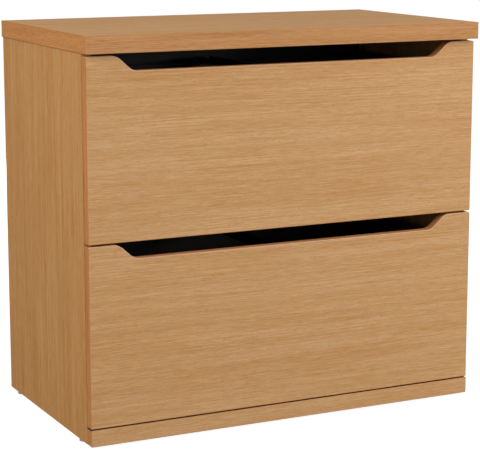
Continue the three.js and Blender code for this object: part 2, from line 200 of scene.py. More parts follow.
class CabinetStage(bpy.types.PropertyGroup):
    """The camera, the lights and the ground."""

    camera_place: bpy.props.FloatVectorProperty(
        name="Camera", description="Place of the lens", default=(-1.4748, -2.9811, 0.9716), unit="LENGTH")
    camera_yaw: angle("Yaw", "Turn of the view to the right", 26.38)
    camera_pitch: angle("Pitch", "Tilt of the view downwards", 10.05)
    focal_pixels: number("Focal length", "Focal length in picture pixels", 1700, "PIXEL")
    shift: number("Shift", "Vertical shift of the lens", -0.05)
    key_power: number("Key", "Large soft light at the front right", 112, "POWER")
    fill_power: number("Fill", "Soft light at the front left", 66, "POWER")
    low_power: number("Low", "Weak low light that reaches in under the top", 9, "POWER")
    back_power: number("Back", "Low soft light behind", 45, "POWER")
    ambient: number("Ambient", "Light from all round", 0.35)
    floor_glow: number("Floor glow", "Whiteness of the floor to the eye", 0.92)
    floor_size: length("Floor size", "Side of the floor", 60000)


# Nodes


def add(tree, kind, inputs=None, **settings):
    """Adds a node with its settings, then gives its inputs values or links."""
    made = tree.nodes.new(kind)
    for key, value in settings.items():
        setattr(made, key, value)
    for key, value in (inputs or {}).items():
        if isinstance(value, bpy.types.NodeSocket):
            tree.links.new(value, made.inputs[key])
        else:
            made.inputs[key].default_value = value
    return made


def put(tree, kind, inputs=None, **settings):
    """Adds a node and gives its first output."""
    return add(tree, kind, inputs, **settings).outputs[0]


def maths(tree, operation, *values):
    """The result of a math node on numbers or links."""
    return put(tree, "ShaderNodeMath", dict(enumerate(values)), operation=operation)


def spread(tree, value, start=0.0, end=1.0, low=0.0, high=1.0):
    """A value between start and end, moved to between low and high."""
    return put(tree, "ShaderNodeMapRange", {0: value, 1: start, 2: end, 3: low, 4: high})


def blend(tree, share, first, second):
    """A mix of two colours."""
    return add(tree, "ShaderNodeMix", {0: share, 6: first, 7: second}, data_type="RGBA").outputs[2]


def blank_tree(owner):
    """The emptied node tree of a material or a world."""
    owner.use_nodes = True
    owner.node_tree.nodes.clear()
    return owner.node_tree


def rgba(value):
    """A colour with full cover."""
    return (*value, 1.0)


# Finishes


def new_finish(name, **values):
    """A named material with its shader, whose constant inputs are set directly."""
    finish = bpy.data.materials.new(name)
    tree = blank_tree(finish)
    shader = add(tree, "ShaderNodeBsdfPrincipled", values)
    add(tree, "ShaderNodeOutputMaterial", {"Surface": shader.outputs["BSDF"]})
    return finish, tree, shader


def set_relief(tree, shader, height, strength, depth, invert=False):
    """Low relief that follows a pattern, its depth in millimetres."""
    inputs = {"Strength": strength, "Distance": depth * MM, "Height": height}
    tree.links.new(put(tree, "ShaderNodeBump", inputs, invert=invert), shader.inputs["Normal"])


def drawn_noise(tree, place, along, across, detail=2.0):
    """Noise drawn out along the first axis: a patch is about along by across, in millimetres."""
    scale = (1 / (along * MM), 1 / (across * MM), 1 / (across * MM))
    scaled = put(tree, "ShaderNodeMapping", {"Vector": place, "Scale": scale})
    noise = add(tree, "ShaderNodeTexNoise", {"Vector": scaled, "Scale": 1.0, "Detail": detail})
    return noise.outputs["Fac"]


# Turns that bring each axis of the piece to the first axis of the pattern.
GRAIN_TURNS = {"X": (0, 0, 0), "Y": (0, 0, -math.pi / 2), "Z": (0, math.pi / 2, 0)}
# Waves per metre of the grain's slow wander, along the grain and across it.
WANDER = (3.2, 9.0, 9.0)
NOISE_MIDDLE = 0.5


def grain_place(tree, axis, sway):
    """Coordinates along and across the grain, which wanders by sway millimetres."""
    place = add(tree, "ShaderNodeTexCoord").outputs["Object"]
    turned = put(tree, "ShaderNodeMapping", {"Vector": place, "Rotation": GRAIN_TURNS[axis]})
    slow = put(tree, "ShaderNodeMapping", {"Vector": turned, "Scale": WANDER})
    drift = add(tree, "ShaderNodeTexNoise", {"Vector": slow, "Scale": 1.0, "Detail": 1.0}).outputs["Color"]
    middle = (NOISE_MIDDLE, NOISE_MIDDLE, NOISE_MIDDLE)
    centred = put(tree, "ShaderNodeVectorMath", {0: drift, 1: middle}, operation="SUBTRACT")
    across = (0.0, 2 * sway * MM, 2 * sway * MM)
    return put(tree, "ShaderNodeVectorMath", {0: centred, 1: across, 2: turned}, operation="MULTIPLY_ADD")


# Shares of the three widths of grain in the oak's tone, and of the pores over it.
BAND_SHARE, STREAK_SHARE, FIBRE_SHARE = 0.22, 0.33, 0.45
PORE_SHARE = 0.42
# Pores show where their noise is above the first level, and fully at the second.
PORE_LEVELS = (0.56, 0.74)
PORE_RELIEF, PORE_DEPTH = 0.12, 0.06
FACE_CONTRAST, EDGE_CONTRAST = 3.7, 4.2
OAK_SWAY = 3
OAK_ROUGHNESS = (0.55, 0.68)
OVERLAY = {"IOR": 1.5, "Specular IOR Level": 0.01}


def oak_finish(name, axis, deep, pale, pore, contrast):
    """Printed oak under a satin overlay: broad bands, long streaks and fibres, and short dark pores.

    Deep grain is more orange and pale grain is greyer. Real pores are about 0.2 mm wide, too fine to show
    from a step away, so they are drawn 1 mm wide.
    """
    finish, tree, shader = new_finish(name, **OVERLAY)
    place = grain_place(tree, axis, OAK_SWAY)
    bands = drawn_noise(tree, place, along=420, across=16)
    streaks = drawn_noise(tree, place, along=280, across=1.5, detail=1.0)
    fibres = drawn_noise(tree, place, along=28, across=1.2, detail=2.5)
    pores = drawn_noise(tree, place, along=8, across=1.0, detail=1.0)

    fine = maths(tree, "MULTIPLY", fibres, FIBRE_SHARE)
    mid = maths(tree, "MULTIPLY_ADD", streaks, STREAK_SHARE, fine)
    grain = maths(tree, "MULTIPLY_ADD", bands, BAND_SHARE, mid)
    half_span = 0.5 / contrast
    tone = spread(tree, grain, NOISE_MIDDLE - half_span, NOISE_MIDDLE + half_span)
    drawn = blend(tree, tone, rgba(deep), rgba(pale))
    dashes = spread(tree, pores, *PORE_LEVELS, high=PORE_SHARE)
    tree.links.new(blend(tree, dashes, drawn, rgba(pore)), shader.inputs["Base Color"])
    tree.links.new(spread(tree, fibres, 0.0, 1.0, *OAK_ROUGHNESS), shader.inputs["Roughness"])
    set_relief(tree, shader, pores, PORE_RELIEF, PORE_DEPTH, invert=True)
    return finish


def oak_laminate(colours, axis):
    """Golden oak melamine on board: even and satin, with fine straight grain. Upright boards are redder."""
    level, upright = (colours.oak_deep, colours.oak_pale), (colours.upright_deep, colours.upright_pale)
    tones = upright if axis == "Z" else level
    return oak_finish(f"oak laminate {axis}", axis, *tones, colours.oak_pore, FACE_CONTRAST)


def oak_edge_band(colours, axis):
    """Printed plastic edge band: redder and plainer than the faces it closes, above all across the ends."""
    front, end = (colours.band_deep, colours.band_pale), (colours.end_band_deep, colours.end_band_pale)
    tones = end if axis == "Y" else front
    return oak_finish(f"oak edge band {axis}", axis, *tones, colours.oak_pore, EDGE_CONTRAST)


def front_edge_band(colours, axis):
    """The band of the plinth and of the drawer fronts, bent round the scoop: the reddest oak print."""
    tones = (colours.front_band_deep, colours.front_band_pale)
    return oak_finish(f"red oak edge band {axis}", axis, *tones, colours.oak_pore, EDGE_CONTRAST)


# The levels of grit noise that give the darkest and the lightest tint.
GRIT_LEVELS = (0.3, 0.7)
GRIT_RELIEF = 0.3


def speckled_finish(name, tone, grit, contrast, roughness, relief, **values):
    """A plain colour broken up by fine grit, in millimetres, with a matching low relief."""
    finish, tree, shader = new_finish(name, **values)
    place = add(tree, "ShaderNodeTexCoord").outputs["Object"]
    noise = drawn_noise(tree, place, grit, grit, detail=3.0)
    share = spread(tree, noise, *GRIT_LEVELS, 1 - contrast, 1 + contrast)
    tinted = put(tree, "ShaderNodeVectorMath", {0: tone, "Scale": share}, operation="SCALE")
    tree.links.new(tinted, shader.inputs["Base Color"])
    tree.links.new(spread(tree, noise, 0.0, 1.0, *roughness), shader.inputs["Roughness"])
    set_relief(tree, shader, noise, GRIT_RELIEF, relief)
    return finish


def painted_edge_highlight(colours):
    """Pale tone for the bands' rounded corners: a painted highlight, a thin light line."""
    return speckled_finish("buffed band plastic", colours.edge_highlight, grit=2.5, contrast=0.08,
                           roughness=(0.4, 0.5), relief=0.02, IOR=1.5)


def melamine_and_painted_shade(colours):
    """Black melamine on thin board: a dull pebbled black, its pebble drawn 1.5 mm wide to show.

    The drawer boxes are made of it. The same black is painted shade on the back panel's inner face and
    on the plinth's upper edges.
    """
    return speckled_finish("black melamine", colours.melamine, grit=1.5, contrast=0.25,
                           roughness=(0.45, 0.6), relief=0.08, IOR=1.5)


def black_enamel(colours):
    """Baked enamel on folded steel: a satin black with a faint orange peel."""
    return speckled_finish("black enamelled steel", colours.enamel, grit=2.2, contrast=0.15,
                           roughness=(0.32, 0.42), relief=0.06, IOR=1.52)


def grey_nylon(colours):
    """Moulded nylon: a matt mid grey with a slight bloom."""
    return speckled_finish("grey nylon", colours.nylon, grit=1.2, contrast=0.08,
                           roughness=(0.45, 0.6), relief=0.05, IOR=1.53)


def soft_bumper(colours):
    """Soft clear vinyl, which looks pale grey on the board behind it."""
    return speckled_finish("soft vinyl", colours.bumper, grit=2.0, contrast=0.05,
                           roughness=(0.25, 0.35), relief=0.02, IOR=1.45)


def cover_plastic(colours):
    """Moulded tan plastic, a little plainer than the oak round it."""
    return speckled_finish("tan moulded plastic", colours.cover, grit=0.9, contrast=0.06,
                           roughness=(0.4, 0.5), relief=0.05, IOR=1.46)


def ball_steel(colours):
    """Polished bearing steel: a near mirror with the faintest haze."""
    return speckled_finish("polished ball steel", colours.ball, grit=1.0, contrast=0.04,
                           roughness=(0.1, 0.18), relief=0.005, Metallic=1.0)


ROLL_SWAY = 1
CLOUD_LEVELS = (0.35, 0.65)
ZINC_ROUGHNESS = (0.24, 0.42)
ROLL_RELIEF, ROLL_DEPTH = 0.15, 0.03


def zinc_steel(colours):
    """Bright zinc plate on rolled steel: cloudy patches and fine lines along the way the strip was rolled."""
    finish, tree, shader = new_finish("zinc-plated steel", Metallic=1.0)
    place = grain_place(tree, "Y", ROLL_SWAY)
    clouds = drawn_noise(tree, place, along=22, across=9, detail=3.0)
    lines = drawn_noise(tree, place, along=45, across=0.7)
    tone = blend(tree, spread(tree, clouds, *CLOUD_LEVELS), rgba(colours.zinc), rgba(colours.zinc_dull))
    tree.links.new(tone, shader.inputs["Base Color"])
    tree.links.new(spread(tree, lines, 0.0, 1.0, *ZINC_ROUGHNESS), shader.inputs["Roughness"])
    set_relief(tree, shader, lines, ROLL_RELIEF, ROLL_DEPTH)
    return finish


def finish_for(maker, *arguments):
    """The material that a maker makes, made once and then shared."""
    key = (maker.__name__, *arguments)
    if key not in finish_for.made:
        finish_for.made[key] = maker(bpy.context.scene.cabinet_colours, *arguments)
    return finish_for.made[key]


finish_for.made = {}


# Outlines


def arc(centre, radius, start, end, steps):
    """Points along an arc, both ends included, angles in radians."""
    angles = [start + (end - start) * i / steps for i in range(steps + 1)]
    return [(centre[0] + radius * math.cos(a), centre[1] + radius * math.sin(a)) for a in angles]


CORNER_STEPS = 12
SCOOP_STEPS = 12
QUARTER = math.pi / 2


def rounded_rectangle(low, high, radius):
    """A rectangle with small round corners, counter-clockwise."""
    (u0, v0), (u1, v1) = low, high
    corners = ((u1, v0, -1, 1), (u1, v1, -1, -1), (u0, v1, 1, -1), (u0, v0, 1, 1))
    points = []
    for turn, (u, v, inward_u, inward_v) in enumerate(corners):
        centre = (u + inward_u * radius, v + inward_v * radius)
        points += arc(centre, radius, (turn - 1) * QUARTER, turn * QUARTER, CORNER_STEPS)
    return points


def scooped_outline(low, high, boards):
    """A drawer front: a rectangle whose top edge dips into a scoop with sloped ends and round corners."""
    half, top = high[0], high[1]
    floor = top - boards.scoop_depth
    radius, slope = boards.scoop_radius, boards.scoop_slope
    run = boards.scoop_depth / 2 / math.tan(slope)
    tangent = radius * math.tan(slope / 2)
    rim = boards.scoop_half_width + run + tangent
    foot = boards.scoop_half_width - run - tangent
    corner = boards.corner
    right = arc((half - corner, low[1] + corner), corner, -QUARTER, 0, CORNER_STEPS)
    right += arc((half - corner, top - corner), corner, 0, QUARTER, CORNER_STEPS)
    right += arc((rim, top - radius), radius, QUARTER, QUARTER + slope, SCOOP_STEPS)
    right += arc((foot, floor + radius), radius, slope - QUARTER, -QUARTER, SCOOP_STEPS)
    left = [(-u, v) for u, v in reversed(right)]
    return right + left


def mitres(outline):
    """For each point of a counter-clockwise outline, the inward step that moves both its edges by one."""
    steps = []
    for i, point in enumerate(outline):
        before = Vector(point) - Vector(outline[i - 1])
        after = Vector(outline[(i + 1) % len(outline)]) - Vector(point)
        inward = [Vector((-edge.y, edge.x)).normalized() for edge in (before, after)]
        steps.append((inward[0] + inward[1]) / (1 + inward[0].dot(inward[1])))
    return steps


# Solids

# How the outline's two axes and the thickness land on X, Y and Z, by the axis of the thickness.
PLANES = {
    "X": lambda u, v, w: (w, u, v),
    "Y": lambda u, v, w: (u, w, v),
    "Z": lambda u, v, w: (u, v, w),
}
EASE_STEPS = 3


def eased_section(low, high, ease):
    """Inset and height of each ring up a swept solid, its two rims rounded."""
    angles = [QUARTER * i / EASE_STEPS for i in range(EASE_STEPS + 1)]
    lower = [(ease - ease * math.sin(a), low + ease - ease * math.cos(a)) for a in angles]
    upper = [(inset, low + high - height) for inset, height in reversed(lower)]
    return lower + upper


def banded_section(low, high, boards):
    """As an eased section, with the band's own thickness and its hairline joint on both faces."""
    joint = boards.joint
    start = [(boards.band + joint, low), (boards.band, low + joint), (boards.band - joint, low)]
    end = [(inset, low + high - height) for inset, height in reversed(start)]
    return start + eased_section(low, high, boards.ease)[1:-1] + end


def skinned(shell, rings):
    """Closes rings of points into a solid. Returns its sides as step, point and face, and its two ends."""
    sides = []
    for step, (lower, upper) in enumerate(zip(rings, rings[1:])):
        for i in range(len(lower)):
            j = (i + 1) % len(lower)
            sides.append((step, i, shell.faces.new((lower[i], lower[j], upper[j], upper[i]))))
    ends = {"near": shell.faces.new(rings[0]), "far": shell.faces.new(rings[-1])}
    return sides, ends


def swept_solid(outline, section, plane):
    """A solid from rings of the outline, with flat ends. Returns the shell, its sides and its ends."""
    shell = bmesh.new()
    inward = mitres(outline)
    place = PLANES[plane]
    rings = []
    for inset, height in section:
        points = [Vector(p) + step * inset for p, step in zip(outline, inward)]
        rings.append([shell.verts.new(place(p.x, p.y, height)) for p in points])
    return shell, *skinned(shell, rings)


SHARP_ANGLE = math.radians(40)


def new_object(name, data):
    """A new object in the scene."""
    made = bpy.data.objects.new(name, data)
    bpy.context.scene.collection.objects.link(made)
    return made


def finish_mesh(name, mesh, finishes, body):
    """Turns a mesh into a piece: smooth but for its sharp edges, with its finishes and body."""
    mesh.shade_smooth()
    mesh.set_sharp_from_angle(angle=SHARP_ANGLE)
    for finish in finishes:
        mesh.materials.append(finish)
    piece = new_object(name, mesh)
    normals = piece.modifiers.new("even flats", "WEIGHTED_NORMAL")
    normals.keep_sharp = True
    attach(piece, body)
    return piece


def finish_piece(node, ending, shell, finishes):
    """Turns a shell into a piece that stands for a frame node and moves with it."""
    bmesh.ops.recalc_face_normals(shell, faces=shell.faces)
    name = f"{node}_{ending}"
    mesh = bpy.data.meshes.new(name)
    shell.to_mesh(mesh)
    shell.free()
    piece = finish_mesh(name, mesh, finishes, frame["nodes"][node]["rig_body"])
    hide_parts(node)


# Laminated boards

FACE_AXES = {"X": ("Y", "Z"), "Y": ("X", "Z"), "Z": ("X", "Y")}
LAMINATE, BAND_ALONG_U, BAND_ALONG_V, HIGHLIGHT, PAINTED_SHADE = range(5)
JOINT_RINGS = 3
# The step of a banded section that is the flat of the edge. The steps just before it round the front.
EDGE_STEP = JOINT_RINGS + EASE_STEPS - 1
# The least rise of a corner's middle step, as a share of the corner radius.
TURN_SHARE = 0.08


def flat_box(node, plane):
    """Low and high corners of a board on its own face, and its low and high along the thickness."""
    low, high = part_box(node)
    u, v = ("XYZ".index(axis) for axis in FACE_AXES[plane])
    w = "XYZ".index(plane)
    return (low[u], low[v]), (high[u], high[v]), low[w], high[w]


def banded_board(node, plane, grain, outline=None, bores=(), painted_shade_face=None, edge=oak_edge_band,
                 highlight_rounding=False, highlight_corners=False, painted_gap_shade=False):
    """A laminated board with banded, eased edges, in place of its frame node.

    A board can be black on its near or far face: painted shade for the dark inside of the cabinet. It can
    have a pale rounding along the front of its upper edges and a pale line down each corner: painted
    highlights where light would catch the eased edges. Its upper edges can be black: painted shade in the
    gap above them.
    """
    boards = bpy.context.scene.cabinet_boards
    low, high, near, far = flat_box(node, plane)
    outline = outline or rounded_rectangle(low, high, boards.corner)
    shell, sides, ends = swept_solid(outline, banded_section(near, far, boards), plane)
    for step, i, face in sides:
        along = Vector(outline[(i + 1) % len(outline)]) - Vector(outline[i])
        face.material_index = BAND_ALONG_U if abs(along.x) >= abs(along.y) else BAND_ALONG_V
        turning = boards.corner * TURN_SHARE < abs(along.y) < abs(along.x)
        rounding = along.x < 0 and 0 < EDGE_STEP - step <= EASE_STEPS
        # Painted highlight: the front rounding of the upper edges and the turns of the corners take the pale
        # tone.
        if (highlight_rounding and rounding) or (highlight_corners and turning):
            face.material_index = HIGHLIGHT
        # Painted shade: the flat of the upper edges is black, to darken the gap above them.
        if painted_gap_shade and along.x < 0 and step == EDGE_STEP:
            face.material_index = PAINTED_SHADE
    # Painted shade: the chosen face is black, for the dark inside of the cabinet.
    for end, face in ends.items():
        face.material_index = PAINTED_SHADE if end == painted_shade_face else LAMINATE
    finishes = [finish_for(oak_laminate, grain), *(finish_for(edge, axis) for axis in FACE_AXES[plane])]
    finishes += [finish_for(painted_edge_highlight), finish_for(melamine_and_painted_shade)]
    if bores:
        shell = bored(shell, bores)
    finish_piece(node, "board", shell, finishes)


BORE_BELOW = 1 * MM
BORE_FACETS = 32


def bored(shell, bores):
    """The shell with round holes. Each bore is its foot, its radius and its depth, straight up."""
    bmesh.ops.recalc_face_normals(shell, faces=shell.faces)
    cutter = bmesh.new()
    for foot, radius, depth in bores:
        middle = Matrix.Translation(foot) @ Matrix.Translation((0, 0, depth / 2 - BORE_BELOW / 2))
        bmesh.ops.create_cone(
            cutter, cap_ends=True, segments=BORE_FACETS, radius1=radius, radius2=radius,
            depth=depth + BORE_BELOW, matrix=middle)
    holders = []
    for name, source in (("bored", shell), ("cutter", cutter)):
        mesh = bpy.data.meshes.new(name)
        source.to_mesh(mesh)
        holders.append(new_object(name, mesh))
    cut = holders[0].modifiers.new("bores", "BOOLEAN")
    cut.object = holders[1]
    cut.solver = "EXACT"
    result = holders[0].evaluated_get(bpy.context.evaluated_depsgraph_get()).to_mesh()
    shell.clear()
    shell.from_mesh(result)
    cutter.free()
    for holder in holders:
        bpy.data.objects.remove(holder)
    return shell


def glide_bores(hand):
    """The two bores in a side panel's bottom edge, one round each threaded insert."""
    boards = bpy.context.scene.cabinet_boards
    bores = []
    for row in ("front", "rear"):
        low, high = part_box(f"{row}_{hand}_threaded_insert")
        foot = ((low.x + high.x) / 2, (low.y + high.y) / 2, low.z)
        bores.append((foot, (high.x - low.x) / 2 + boards.insert_play, boards.bore_depth))
    return bores


class CABINET_OT_carcass(bpy.types.Operator):
    """Builds the top, the sides, the back, the bottom and the plinth"""

    bl_idname = "cabinet.carcass"
    bl_label = "Carcass"

    def execute(self, context):
        # The top's corners get a painted highlight, a pale line down each.
        banded_board("top_panel", "Z", "X", highlight_corners=True)
        for hand in HANDS:
            banded_board(f"{hand}_side_panel", "X", "Z", bores=glide_bores(hand))
        # The back's inner face is black: painted shade for the dark inside.
        banded_board("back_panel", "Y", "X", painted_shade_face="near")
        banded_board("bottom_panel", "Z", "X")
        # The plinth's upper edge is black: painted shade in the gap under the lower drawer front.
        banded_board("plinth_rail", "Y", "X", edge=front_edge_band, painted_gap_shade=True)
        return {"FINISHED"}


class CABINET_OT_drawer_fronts(bpy.types.Operator):
    """Builds the two drawer fronts with their scooped top edges"""

    bl_idname = "cabinet.drawer_fronts"
    bl_label = "Drawer Fronts"

    def execute(self, context):
        boards = context.scene.cabinet_boards
        for level in LEVELS:
            node = f"{level}_drawer_front"
            low, high, _, _ = flat_box(node, "Y")
            foot = low[1] + (boards.trim if level == "upper" else 0)
            outline = scooped_outline((low[0], foot), high, boards)
            # The fronts' upper edges get a painted highlight along their front rounding.
            banded_board(node, "Y", "X", outline, edge=front_edge_band, highlight_rounding=True)
        return {"FINISHED"}


# Drawer boxes

MERGE_DISTANCE = 0.001 * MM
FLAT_ANGLE = math.radians(1)
ROUND_PROFILE = 0.5
BOX_EASE_STEPS = 2


def softened_piece(node, ending, ease, segments, finish):
    """A frame node's own shape with its sharp edges rounded, as a piece in its place."""
    shell = bmesh.new()
    shell.from_mesh(frame["nodes"][node].data)
    bmesh.ops.remove_doubles(shell, verts=shell.verts, dist=MERGE_DISTANCE)
    bmesh.ops.dissolve_limit(shell, angle_limit=FLAT_ANGLE, verts=shell.verts, edges=shell.edges)
    sharp = [edge for edge in shell.edges if edge.calc_face_angle(0) > SHARP_ANGLE]
    bmesh.ops.bevel(
        shell, geom=sharp, offset=ease, segments=segments, profile=ROUND_PROFILE, affect="EDGES",
        clamp_overlap=True)
    for face in shell.faces:
        face.material_index = 0
    finish_piece(node, ending, shell, [finish_for(finish)])


class CABINET_OT_drawer_boxes(bpy.types.Operator):
    """Builds the black boards of both drawer boxes"""

    bl_idname = "cabinet.drawer_boxes"
    bl_label = "Drawer Boxes"

    def execute(self, context):
        ease = context.scene.cabinet_hardware.box_ease
        for level in LEVELS:
            for board in ("left_side", "right_side", "front", "back", "bottom"):
                node = f"{level}_box_{board}"
                softened_piece(node, "panel", ease, BOX_EASE_STEPS, melamine_and_painted_shade)
        return {"FINISHED"}


# File rails

BEND_STEPS = 4
# Shares of the sheet: how far a rounded long edge stands out, and the rounding of the cut ends.
TIP_SHARE = 1 / 4
END_SHARE = 1 / 6


def rounded_line(points, radius):
    """A line of square bends with an arc at every bend."""
    line = [Vector(points[0])]
    for before, corner, after in zip(points, points[1:], points[2:]):
        corner = Vector(corner)
        back = (Vector(before) - corner).normalized() * radius
        onward = (Vector(after) - corner).normalized() * radius
        centre = corner + back + onward
        angles = [QUARTER * i / BEND_STEPS for i in range(BEND_STEPS + 1)]
        line += [centre - onward * math.cos(a) - back * math.sin(a) for a in angles]
    line.append(Vector(points[-1]))
    return line


def strip_outline(line, sheet):
    """The closed outline of a bent strip, its two long edges rounded."""
    sides = []
    for i, point in enumerate(line):
        before = (point - line[i - 1]).normalized() if i else None
        after = (line[i + 1] - point).normalized() if i < len(line) - 1 else None
        along = ((before or after) + (after or before)).normalized()
        sides.append(Vector((-along.y, along.x)) * sheet / 2)
    left = [p + s for p, s in zip(line, sides)]
    right = [p - s for p, s in zip(line, sides)]
    tip = line[-1] + (line[-1] - line[-2]).normalized() * sheet * TIP_SHARE
    tail = line[0] + (line[0] - line[1]).normalized() * sheet * TIP_SHARE
    return [tuple(p) for p in [tail, *right, tip, *reversed(left)]]


def rail_line(node, hand, sheet):
    """The middle of the sheet across a rail: a channel for the centre rail, an angle for a side rail."""
    low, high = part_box(node)
    web = low.z + sheet / 2
    left, right = low.x + sheet / 2, high.x - sheet / 2
    trim = sheet * TIP_SHARE
    top = high.z - trim
    if hand == 0:
        return [(left, top), (left, web), (right, web), (right, top)]
    if hand < 0:
        return [(low.x + trim, web), (right, web), (right, top)]
    return [(left, top), (left, web), (high.x - trim, web)]


class CABINET_OT_file_rails(bpy.types.Operator):
    """Builds the folded steel rails that carry hanging files"""

    bl_idname = "cabinet.file_rails"
    bl_label = "File Rails"

    def execute(self, context):
        hardware = context.scene.cabinet_hardware
        sheet = hardware.rail_sheet
        for level in LEVELS:
            for place, hand in {"centre": 0, **HANDS}.items():
                node = f"{level}_{place}_file_rail"
                low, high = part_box(node)
                line = rounded_line(rail_line(node, hand, sheet), hardware.rail_bend)
                section = eased_section(low.y, high.y, sheet * END_SHARE)
                shell, _, _ = swept_solid(strip_outline(line, sheet), section, "Y")
                finish_piece(node, "fold", shell, [finish_for(black_enamel)])
        return {"FINISHED"}


# Slides

SLIDE_PARTS = ("slide_outer", "slide_middle", "slide_inner", "outer_ball_cage", "inner_ball_cage")
MEMBER_EASE_STEPS = 1


class CABINET_OT_slides(bpy.types.Operator):
    """Builds the rolled members and the ball cages of the four telescopic slides"""

    bl_idname = "cabinet.slides"
    bl_label = "Slides"

    def execute(self, context):
        ease = context.scene.cabinet_hardware.member_ease
        for level in LEVELS:
            for hand in HANDS:
                for part in SLIDE_PARTS:
                    node = f"{level}_{hand}_{part}"
                    softened_piece(node, "roll", ease, MEMBER_EASE_STEPS, zinc_steel)
        return {"FINISHED"}


# Glides

PAD_EASE, PAD_EASE_STEPS = 0.3 * MM, 3
SLEEVE_EASE, SLEEVE_EASE_STEPS = 0.1 * MM, 1
THREAD_FACETS = 24
ROWS_PER_PITCH = 6


def threaded_shell(low, high, radius, centre, hardware):
    """A threaded rod: a round bar whose radius follows the thread round and up."""
    rows = int((high - low) / hardware.pitch * ROWS_PER_PITCH)
    shell = bmesh.new()
    rings = []
    for row in range(rows + 1):
        height = low + (high - low) * row / rows
        ring = []
        for i in range(THREAD_FACETS):
            share = i / THREAD_FACETS
            phase = ((height - low) / hardware.pitch - share) % 1.0
            reach = radius - hardware.thread_depth * abs(2 * phase - 1)
            turn = 2 * math.pi * share
            spot = (centre.x + reach * math.cos(turn), centre.y + reach * math.sin(turn), height)
            ring.append(shell.verts.new(spot))
        rings.append(ring)
    skinned(shell, rings)
    return shell


def build_glide(corner, hardware):
    """A levelling glide: nylon pad, threaded stem and the barbed insert that it screws into."""
    softened_piece(f"{corner}_glide_pad", "foot", PAD_EASE, PAD_EASE_STEPS, grey_nylon)
    stem = f"{corner}_glide_stem"
    low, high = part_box(stem)
    shell = threaded_shell(low.z, high.z, (high.x - low.x) / 2, (low + high) / 2, hardware)
    finish_piece(stem, "thread", shell, [finish_for(zinc_steel)])
    softened_piece(f"{corner}_threaded_insert", "sleeve", SLEEVE_EASE, SLEEVE_EASE_STEPS, zinc_steel)


class CABINET_OT_glides(bpy.types.Operator):
    """Builds the four levelling glides"""

    bl_idname = "cabinet.glides"
    bl_label = "Levelling Glides"

    def execute(self, context):
        for corner in CORNERS:
            build_glide(corner, context.scene.cabinet_hardware)
        return {"FINISHED"}


# Repeated hardware

FACING = "facing"
HEAD_FACETS = 24
HEAD_RINGS = 4
# The recess's length as a share of the head's diameter, and its depth as a share of the head's height.
RECESS_REACH = 0.56
RECESS_DEPTH = 0.6
BALL_CUTS = 2


def open_tree(name, sizes):
    """A new node tree whose inputs are its spots, its named sizes and its finish."""
    tree = bpy.data.node_groups.new(name, "GeometryNodeTree")
    tree.interface.new_socket("Spots", in_out="INPUT", socket_type="NodeSocketGeometry")
    for size in sizes:
        tree.interface.new_socket(size, in_out="INPUT", socket_type="NodeSocketFloat").subtype = "DISTANCE"
    tree.interface.new_socket("Finish", in_out="INPUT", socket_type="NodeSocketMaterial")
    tree.interface.new_socket("Pieces", in_out="OUTPUT", socket_type="NodeSocketGeometry")
    return tree, add(tree, "NodeGroupInput").outputs


def close_tree(tree, given, shape):
    """Sets the shape at every spot, turned the way that the spot faces, and gives it its finish."""
    facing = put(tree, "GeometryNodeInputNamedAttribute", {"Name": FACING}, data_type="FLOAT_VECTOR")
    turn = put(tree, "FunctionNodeAlignRotationToVector", {"Vector": facing}, axis="Z")
    inputs = {"Points": given["Spots"], "Instance": shape, "Rotation": turn}
    placed = put(tree, "GeometryNodeInstanceOnPoints", inputs)
    real = put(tree, "GeometryNodeRealizeInstances", {"Geometry": placed})
    done = put(tree, "GeometryNodeSetMaterial", {"Geometry": real, "Material": given["Finish"]})
    add(tree, "NodeGroupOutput", {"Pieces": done})
    return tree


def crowned_disc(tree, given):
    """A disc that stands on its spot, its top raised to a crown in the middle."""
    radius = maths(tree, "MULTIPLY", given["Diameter"], 0.5)
    sizes = {"Vertices": HEAD_FACETS, "Fill Segments": HEAD_RINGS, "Radius": radius, "Depth": given["Height"]}
    disc = add(tree, "GeometryNodeMeshCylinder", sizes).outputs["Mesh"]
    place = put(tree, "GeometryNodeInputPosition")
    height = add(tree, "ShaderNodeSeparateXYZ", {0: place}).outputs["Z"]
    level = put(tree, "ShaderNodeVectorMath", {0: place, 1: (1, 1, 0)}, operation="MULTIPLY")
    reach = add(tree, "ShaderNodeVectorMath", {0: level}, operation="LENGTH").outputs["Value"]
    fall = maths(tree, "POWER", maths(tree, "DIVIDE", reach, radius), 2.0)
    crown = maths(tree, "MULTIPLY", maths(tree, "SUBTRACT", 1.0, fall), given["Crown"])
    raised = maths(tree, "MULTIPLY", crown, maths(tree, "GREATER_THAN", height, 0.0))
    lift = maths(tree, "MULTIPLY_ADD", given["Height"], 0.5, raised)
    offset = put(tree, "ShaderNodeCombineXYZ", {"Z": lift})
    return put(tree, "GeometryNodeSetPosition", {"Geometry": disc, "Offset": offset})


def crossed(tree, given, head):
    """The head with a cross recess cut into its crown."""
    top = maths(tree, "ADD", given["Height"], given["Crown"])
    deep = maths(tree, "MULTIPLY", top, 2 * RECESS_DEPTH)
    long = maths(tree, "MULTIPLY", given["Diameter"], RECESS_REACH)
    upward = put(tree, "ShaderNodeCombineXYZ", {"Z": top})
    cut = add(tree, "GeometryNodeMeshBoolean", {"Mesh 1": head}, operation="DIFFERENCE", solver="EXACT")
    for wide, tall in ((given["Recess"], long), (long, given["Recess"])):
        size = put(tree, "ShaderNodeCombineXYZ", {"X": wide, "Y": tall, "Z": deep})
        arm = add(tree, "GeometryNodeMeshCube", {"Size": size}).outputs["Mesh"]
        placed = put(tree, "GeometryNodeTransform", {"Geometry": arm, "Translation": upward})
        tree.links.new(placed, cut.inputs["Mesh 2"])
    return cut.outputs["Mesh"]


